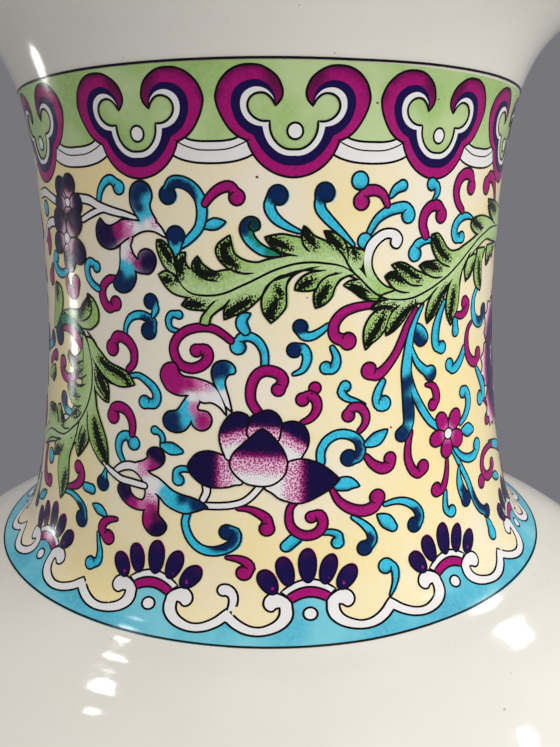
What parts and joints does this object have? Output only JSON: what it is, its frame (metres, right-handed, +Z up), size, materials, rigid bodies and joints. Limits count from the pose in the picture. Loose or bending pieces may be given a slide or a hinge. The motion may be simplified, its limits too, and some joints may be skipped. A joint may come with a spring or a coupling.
{
  "type": "baluster vase",
  "caption": "Tall porcelain baluster vase with a broad rounded belly, a waisted neck enamelled with scrolling flowers and leaves, a flared rolled mouth and a flat foot ring.",
  "frame": {"origin": "on the vase's axis, in the plane that the foot ring stands on", "axes": "+Z up along the axis of revolution; -Y is the side that the picture shows, +X to its right"},
  "size_m": [0.237, 0.237, 0.3999],
  "materials": {
    "porcelain": "clear gloss glaze over greyish white porcelain, with an unglazed foot ring",
    "luting_slip": "fired slip, wiped smooth under the glaze",
    "blue_enamel": "glossy overglaze enamel",
    "yellow_enamel": "glossy thin overglaze enamel",
    "green_enamel": "glossy overglaze enamel"
  },
  "bodies": {
    "root": {"foot_and_base": "porcelain", "lower_body": "porcelain", "upper_body": "porcelain", "mouth_and_neck": "porcelain", "foot_luting_slip": "luting_slip", "belly_luting_slip": "luting_slip", "neck_luting_slip": "luting_slip", "blue_border_enamel": "blue_enamel", "yellow_field_enamel": "yellow_enamel", "green_border_enamel": "green_enamel"}
  },
  "joints": []
}
